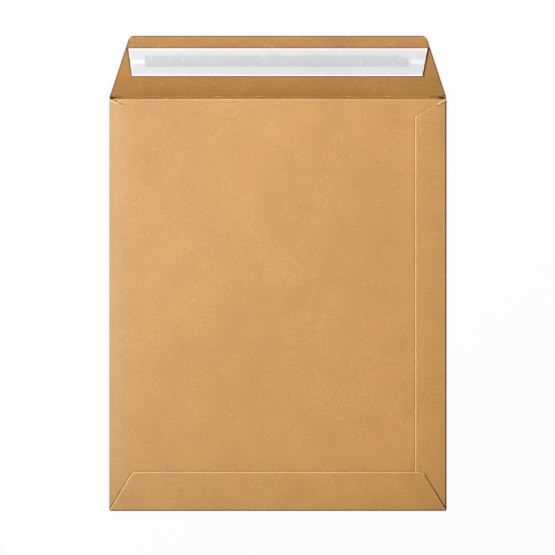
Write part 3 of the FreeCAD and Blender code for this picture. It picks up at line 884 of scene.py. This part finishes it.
def inside_material(look, fold):
    """The rougher inner face, with painted shade that darkens it towards the crease of the closing
    flap and painted shadow lines along its edges.
    """
    material, tree = new_material("manilla_inside", 0.82, 0.2)
    place = Place(tree)
    tone, relief, pale = fibre_tone(place, 1.25, 0.75)
    crease = fold.crease / MM
    wobble = noise(place, 150, 3)
    near, wide = times(wobble, 0.5), times(wobble, 1.6)
    streak = noise(place, 420, 3, 0.6, (4, 0.12))
    blotch = noise(place, 380, 3, 0.6)
    line = count("ADD", near, place.y)
    outer = ramp(place.y, crease - 6, crease - 3)
    across = count("ABSOLUTE", count("MULTIPLY_ADD", wobble, 8.0, place.x))
    ends = ramp(count("MULTIPLY_ADD", blotch, 16.0, across), 114, 125)
    hinge = line_across(line, crease - 1.3, 0.9, 1.6)
    root, tip_half, tip = fold.root / MM, fold.tip_half / MM, fold.tip / MM
    low, high = LINER_LOW.y / MM, LINER_HIGH.y / MM
    low_half, high_half = LINER_HIGH.x / MM - CORNER_INSET, LINER_HIGH.x / MM
    band = ramp(place.y, low + 1, low - 3)
    level = crease - 1.4
    # Painted shade at both ends of the crease, where the flap's corners meet the mouth.
    corner_darks = [
        ([(-root - 1, level - 0.2), (-122.2, level - 0.7)], 0.0, 0.7, 0.5, 0.85),
        ([(-123.4, level + 0.2), (-119.6, level)], 0.0, 0.18, 0.5, 0.75),
        ([(-118.0, level + 0.6), (-108.0, level + 0.2)], 0.0, 0.10, 0.5, 0.30),
        ([(113.0, level + 0.5), (122.4, level)], 0.0, 0.26, 0.7, 0.50),
        ([(117.0, level - 0.9), (124.6, level - 0.5)], 0.0, 0.18, 0.6, 0.38),
    ]
    # Painted shadow: dark lines along the flap's slanted sides and beside the liner's ends and edges.
    edge_darks = [
        ([(-root, crease), (-tip_half - 1, tip - 4)], -0.2, 0.35, 0.5, 0.50),
        ([(root, crease), (tip_half + 1, tip - 4)], 0.2, 0.4, 0.5, 0.66),
        ([(-low_half, low), (-high_half, high)], 0.45, 0.35, 0.5, 0.55),
        ([(low_half - 1.0, low), (high_half, high)], -0.55, 0.45, 0.5, 0.84),
        ([(high_half - 1.6, high - 9), (high_half - 0.2, high)], -0.6, 0.5, 0.5, 0.60),
        ([(-low_half, low), (low_half - 1.0, low)], -0.45, 0.35, 0.5, 0.30),
        ([(-high_half, high), (high_half, high)], 0.36, 0.32, 0.24, 0.54),
    ]
    # Painted shade at the crease's ends, along the flap's tip and along the crease.
    darks = [
        (times(ends, hinge), 0.52),
        *drawn(place, wide, corner_darks),
        *drawn(place, near, edge_darks),
        (line_across(place.y, tip - 0.35, 0.35, 0.25), 0.58),
        (times(line_across(line, crease + 0.1, 0.2, 0.6), outer), 0.09),
        (line_across(place.y, crease - 2.7, 0.35, 0.5), 0.14),
        (line_across(line, crease + 3.2, 0.15, 0.5), 0.05),
    ]
    # Painted highlights: pale dashes and specks along the crease, and a faint pale line near the tip.
    dashes = ramp(noise(place, 360, 3, 0.6, (3, 0.35)), 0.06, 0.16)
    crumbs = ramp(noise(place, 420, 3, 0.6, (-4, 0.5)), 0.10, 0.18)
    brights = [
        (times(dashes, line_across(line, crease - 0.6, 0.15, 0.5)), 0.42),
        (times(crumbs, line_across(line, crease - 1.9, 0.2, 0.6)), 0.36),
        (line_across(place.y, tip - 1.3, 0.2, 0.35), 0.09),
    ]
    # Painted shade: lighter towards the tip, darker towards the right, and darker below the liner,
    # most of all at the left.
    shade = total(
        tone,
        (slope(place.y, crease + 1, crease + 40, 0.004, 0.030), 1.0),
        (slope(place.x, -110, 110, 0.02, -0.02), 1.0),
        (times(band, ramp(place.x, -20, -110)), -0.10),
        (times(band, ramp(place.x, 20, 110)), -0.05),
        (times(band, ramp(place.x, 84, 104)), -0.035),
        (streak, 0.12),
    )
    # Painted shadow lines, then painted highlights mixed with the pale fibres, over the inner colour.
    shadowed = blend(total(0.0, *darks), look.inside, look.shadow)
    raised = blend(total(pale, *brights), shadowed, look.highlight)
    height = total(relief, (line_across(line, crease, 0.3, 0.7), -1.5), (streak, 1.5))
    rough = times(relief, 0.08)
    depth = slope(place.y, low, high, 1.0, 0.96)
    finish_material(tree, raised, shade, height, 0.016 * MM, rough, depth, colour_drift(place))
    return material


def edge_material(look):
    """Raw fibres along a cut edge."""
    material, tree = new_material("manilla_cut_edge", 0.9, 0.15)
    place = Place(tree)
    tuft = noise(place, 2500, 3, 0.7)
    tone = total(1.0, (tuft, 0.3))
    finish_material(tree, (*look.cut_edge, 1), tone, tuft, 0.02 * MM, times(tuft, 0.2))
    return material


def liner_material(look):
    """Glossy silicone paper that turns grey where the adhesive wets it from below."""
    material, tree = new_material("silicone_liner", 0.38, 0.45)
    place = Place(tree)
    low, high = STRIP_LOW / MM, STRIP_HIGH / MM
    middle, half = (low.y + high.y) / 2, (high.y - low.y) / 2
    ragged = noise(place, 170, 4, 0.65, (3, 0.55))
    blotch = noise(place, 150, 4, 0.62, (14, 0.5))
    drift = noise(place, 60, 3, 0.5, (0, 0.4))
    up = count("MULTIPLY_ADD", ragged, 2.3, place.y)
    out = count("MULTIPLY_ADD", ragged, 3.0, place.x)
    soft_top = ramp(up, middle + half + 1.8, middle + half - 1.2)
    crisp_foot = ramp(up, middle - half - 0.25, middle - half + 0.5)
    reach = line_across(out, -0.6, high.x - 0.2, 0.9)
    wet = times(times(soft_top, crisp_foot), reach)
    missed = ramp(blotch, 0.13, 0.24)
    wet = times(wet, count("MULTIPLY_ADD", missed, -0.35, 1.0))
    low_edge, high_edge = LINER_LOW.y / MM, LINER_HIGH.y / MM
    from_middle = count("ABSOLUTE", place.x)
    beyond = times(ramp(from_middle, 97.4, 100), ramp(from_middle, 110.5, 106))
    tab = times(line_across(up, middle - 0.5, 0.9, 1.3), beyond)
    crimp = hair_lines(place, 150, 120, 140, drift)
    folds = hair_lines(place, 190, 150, 170, drift)
    pulp = noise(place, 1200, 3, 0.7)
    slant = CORNER_INSET / (high_edge - low_edge)
    end = count("SUBTRACT", from_middle, LINER_HIGH.x / MM)
    end = total(end, (count("SUBTRACT", high_edge, place.y), slant))
    colour = blend(wet, look.liner, look.wetted_liner)
    upward = ramp(place.y, low_edge + 4.4, low_edge + 2.4, 0.0, 0.75)
    violet = times(upward, ramp(place.y, low_edge + 0.7, low_edge + 1.1))
    colour = blend(violet, colour, look.liner_foot)
    colour = blend(ramp(place.y, high_edge - 0.7, high_edge - 0.1), colour, look.liner_rim)
    shade = total(
        1.0,
        (drift, 0.05),
        (ragged, 0.05),
        (pulp, 0.24),
        (times(blotch, wet), 0.17),
        (times(slope(place.y, middle - half, middle + half, -0.5, 0.5), wet), 0.07),
        (tab, 0.20),
        (times(crimp, wet), 0.52),
        (times(folds, wet), -0.24),
        # Painted highlights: pale rims at the liner's ends, below its upper edge and along its lower
        # edge.
        (ramp(end, -1.6, -0.8), 0.22),
        (line_across(place.y, high_edge - 1.15, 0.3, 0.45), 0.20),
        (ramp(place.y, low_edge + 0.90, low_edge + 0.55), 0.68),
    )
    height = total(blotch, (wet, 1.2), (ragged, 0.6), (crimp, 2.0))
    finish_material(tree, colour, shade, height, 0.03 * MM, times(blotch, 0.3))
    return material


def film_material(name, colour, roughness):
    """A film of glue or adhesive with an uneven surface."""
    material, tree = new_material(name, roughness, 0.4)
    place = Place(tree)
    wave = noise(place, 320, 4, 0.6)
    finish_material(tree, (*colour, 1), total(1.0, (wave, 0.2)), wave, 0.05 * MM, times(wave, 0.3))
    return material


def set_materials(piece, *materials):
    """Gives a piece its materials in the order of its slots."""
    piece.data.materials.clear()
    for material in materials:
        piece.data.materials.append(material)


class ENVELOPE_OT_fold_sheet(bpy.types.Operator):
    """Cut the blank, fold it round and give it its paper"""

    bl_idname = "envelope.fold_sheet"
    bl_label = "Fold the Sheet"

    def execute(self, context):
        sizes, look = context.scene.envelope_sheet, context.scene.envelope_look
        fold = Folding(sizes)
        piece = finish_mesh(cut_blank(fold, sizes.cell), "manilla_envelope", fold.place)
        faces = outside_material(look, fold), inside_material(look, fold)
        set_materials(piece, *faces, edge_material(look))
        thicken(piece, sizes.paper)
        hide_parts("folded_sheet")
        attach(piece, "root")
        return {"FINISHED"}


class ENVELOPE_OT_lay_liner(bpy.types.Operator):
    """Cut the liner, lay it along the closing flap and let its ends stand a little off"""

    bl_idname = "envelope.lay_liner"
    bl_label = "Lay the Liner"

    def execute(self, context):
        sizes, fold = context.scene.envelope_liner, Folding(context.scene.envelope_sheet)
        reach = sizes.tip_length / 2
        mesh = flat_grid((-reach, 0), (reach, sizes.width), 1.2 * MM)
        root = sizes.root_length / 2
        top = (sizes.width, LINER_CORNER)
        outline = [(-root, 0, 0), (root, 0, 0), (reach, *top), (-reach, *top)]
        trim(mesh, ((-1, -1), (1, 1)), outline, 3)

        def place(across, run):
            loose = smooth_step(root - LOOSE_END, root, abs(across))
            ripple = 0.5 + 0.5 * math.sin(run / END_STEP + math.copysign(1.1, across))
            rim = smooth_step(7 * MM, 10.3 * MM, abs(run - sizes.width / 2))
            wave = 0.5 + 0.5 * math.sin(across / RIM_STEP + run / (30 * MM))
            lift = sizes.ripple * (loose * ripple + 0.35 * rim * wave)
            y, z = fold.on_bow(sizes.start + run, sizes.level + sizes.thickness / 2 + lift)
            pull = 0.2 * MM * loose * math.sin(run / (2.1 * MM) + math.copysign(0.6, across))
            trimmed = TRIM_DEPTH * smooth_step(root - TRIM_LENGTH, root, across)
            trimmed *= 1 - run / sizes.width
            return across - math.copysign(abs(pull), across) - trimmed, y, z

        piece = finish_mesh(mesh, "liner_paper_strip", place)
        material = liner_material(context.scene.envelope_look)
        set_materials(piece, material, material, material)
        thicken(piece, sizes.thickness)
        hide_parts("release_liner")
        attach(piece, "root")
        return {"FINISHED"}


class ENVELOPE_OT_coat_films(bpy.types.Operator):
    """Give the adhesive strip and the two glue films their finish"""

    bl_idname = "envelope.coat_films"
    bl_label = "Coat the Films"

    def execute(self, context):
        look = context.scene.envelope_look
        adhesive = film_material("sealing_adhesive_film", look.adhesive, 0.3)
        glue = film_material("dried_glue_film", look.glue, 0.55)
        set_materials(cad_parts["adhesive_strip"], adhesive)
        set_materials(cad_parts["side_seam_glue"], glue)
        set_materials(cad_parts["bottom_flap_glue"], glue)
        return {"FINISHED"}


class ENVELOPE_OT_set_studio(bpy.types.Operator):
    """Set up the floor, the lights, the room and the camera"""

    bl_idname = "envelope.set_studio"
    bl_label = "Set the Studio"

    def execute(self, context):
        scene, studio = context.scene, context.scene.envelope_studio
        scene.view_settings.view_transform = "Standard"
        scene.camera = self.add_camera(scene, studio)
        self.add_key(scene, studio)
        self.add_floor(scene)
        self.set_room(scene, studio)
        return {"FINISHED"}

    def add_camera(self, scene, studio):
        """A camera straight above, with a lens so long that the view is nearly parallel."""
        data = bpy.data.cameras.new("overhead")
        data.sensor_width = 36
        data.lens = data.sensor_width * studio.camera_height / studio.view_width
        data.clip_start, data.clip_end = 0.1, 100
        camera = bpy.data.objects.new("overhead", data)
        camera.location = (studio.view_centre[0], studio.view_centre[1], studio.camera_height)
        scene.collection.objects.link(camera)
        return camera

    def add_key(self, scene, studio):
        """One large soft light, up and to the left of the envelope."""
        data = bpy.data.lights.new("key", "AREA")
        data.shape = "DISK"
        data.size = 1.0
        data.energy = studio.key_power
        light = bpy.data.objects.new("key", data)
        light.location = KEY_PLACE
        light.rotation_mode = "QUATERNION"
        light.rotation_quaternion = (-light.location).to_track_quat("-Z", "Y")
        scene.collection.objects.link(light)

    def add_floor(self, scene):
        """A white floor that looks nearly white and keeps a part of the object's shadow."""
        mesh = bmesh.new()
        bmesh.ops.create_grid(mesh, x_segments=1, y_segments=1, size=6)
        bmesh.ops.translate(mesh, vec=(0, 0, -FLOOR_DEPTH), verts=mesh.verts)
        floor = finish_floor(mesh)
        scene.collection.objects.link(floor)

    def set_room(self, scene, studio):
        """Even light from all round, and plain white where the room itself is seen."""
        world = bpy.data.worlds.new("room")
        world.use_nodes = True
        scene.world = world
        tree = world.node_tree
        background = tree.nodes["Background"]
        background.inputs["Color"].default_value = (1, 1, 1, 1)
        seen = seen_rays(tree)
        feed(background.inputs["Strength"], slope(seen, 0, 1, studio.fill, 1.0))


def seen_rays(tree):
    """1 for what the camera sees, straight or in gloss or glass."""
    path = add_node(tree, "ShaderNodeLightPath")
    seen = count("MAXIMUM", path.outputs["Is Camera Ray"], path.outputs["Is Glossy Ray"])
    return count("MAXIMUM", seen, path.outputs["Is Transmission Ray"])


def finish_floor(mesh):
    """The floor's object and its material."""
    data = bpy.data.meshes.new("floor")
    mesh.to_mesh(data)
    mesh.free()
    material, tree = new_material("white_floor", 0.9, 0.1)
    shader = tree.nodes["Principled BSDF"]
    shader.inputs["Base Color"].default_value = (0.9, 0.9, 0.9, 1)
    glow = add_node(tree, "ShaderNodeEmission")
    glow.inputs["Strength"].default_value = 1
    mix = add_node(tree, "ShaderNodeMixShader")
    feed(mix.inputs[0], times(seen_rays(tree), FLOOR_GLOW))
    feed(mix.inputs[1], shader.outputs[0])
    feed(mix.inputs[2], glow.outputs[0])
    feed(tree.nodes["Material Output"].inputs["Surface"], mix.outputs[0])
    data.materials.append(material)
    return bpy.data.objects.new("floor", data)


class ENVELOPE_PT_workshop(bpy.types.Panel):
    """The steps that make the envelope, with their sizes and colours"""

    bl_label = "Envelope"
    bl_idname = "ENVELOPE_PT_workshop"
    bl_space_type = "VIEW_3D"
    bl_region_type = "UI"
    bl_category = "Envelope"

    def draw(self, context):
        for operator in STEPS:
            self.layout.operator(operator.bl_idname)
        for group in GROUPS:
            box = self.layout.box()
            settings = getattr(context.scene, group)
            for name in type(settings).__annotations__:
                box.prop(settings, name)


STEPS = (
    ENVELOPE_OT_fold_sheet,
    ENVELOPE_OT_lay_liner,
    ENVELOPE_OT_coat_films,
    ENVELOPE_OT_set_studio,
)
GROUPS = {
    "envelope_sheet": SheetSizes,
    "envelope_liner": LinerSizes,
    "envelope_look": PaperLook,
    "envelope_studio": StudioSettings,
}
CLASSES = (*GROUPS.values(), *STEPS, ENVELOPE_PT_workshop)


def register():
    for one in CLASSES:
        bpy.utils.register_class(one)
    for name, group in GROUPS.items():
        setattr(bpy.types.Scene, name, bpy.props.PointerProperty(type=group))


def unregister():
    for name in GROUPS:
        delattr(bpy.types.Scene, name)
    for one in reversed(CLASSES):
        bpy.utils.unregister_class(one)


def main():
    register()
    bpy.ops.envelope.fold_sheet()
    bpy.ops.envelope.lay_liner()
    bpy.ops.envelope.coat_films()
    bpy.ops.envelope.set_studio()


if __name__ == "__main__":
    main()
